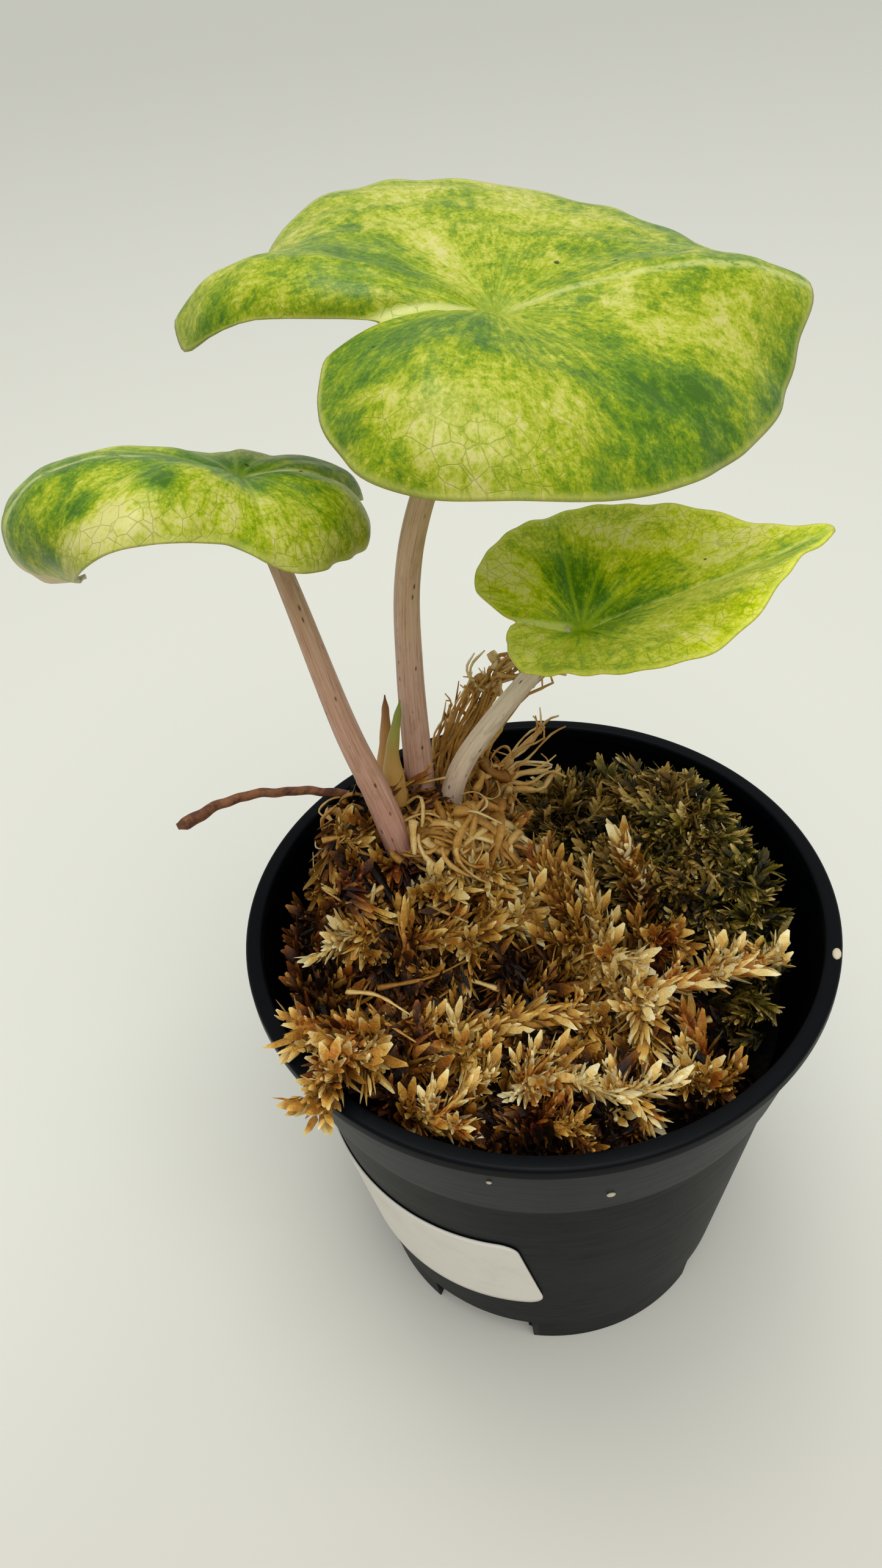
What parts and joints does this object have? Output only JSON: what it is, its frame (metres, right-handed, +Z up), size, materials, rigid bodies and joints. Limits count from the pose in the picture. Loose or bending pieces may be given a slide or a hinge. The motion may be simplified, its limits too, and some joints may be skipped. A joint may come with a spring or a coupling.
{
  "type": "potted pink dragon alocasia",
  "caption": "Young alocasia with marbled arrow-shaped leaves on pink stalks, rooted in long-fibre moss in a round black nursery pot.",
  "frame": {"origin": "middle of the pot's base, on the plane that it stands on", "axes": "+Z up through the pot, -Y towards the front of the pot, +X to the right seen from the front"},
  "size_m": [0.1097, 0.0904, 0.1728],
  "materials": {
    "pot": "black moulded plastic, satin",
    "label": "matt white paper, blank",
    "blade_large": "leaf, satin, green marbled with cream",
    "petiole_large": "leaf stalk, dusty pink, satin",
    "blade_left": "leaf, satin, green marbled with cream",
    "petiole_left": "leaf stalk, dusty pink, satin",
    "blade_right": "leaf, satin, green marbled with cream",
    "petiole_right": "leaf stalk, cream, satin",
    "corm": "brown corm skin, matt",
    "sheath_brown": "dry papery sheath, matt",
    "sheath_green": "young leaf spear, satin",
    "dry_root": "dry brown stalk, matt",
    "moss_tan": "dry sphagnum moss, matt",
    "moss_green": "living fine moss, olive brown, matt"
  },
  "bodies": {
    "root": {"pot": "pot", "label": "label", "blade_large": "blade_large", "petiole_large": "petiole_large", "blade_left": "blade_left", "petiole_left": "petiole_left", "blade_right": "blade_right", "petiole_right": "petiole_right", "corm": "corm", "sheath_brown": "sheath_brown", "sheath_green": "sheath_green", "dry_root": "dry_root", "moss_tan": "moss_tan", "moss_green": "moss_green"}
  },
  "joints": []
}
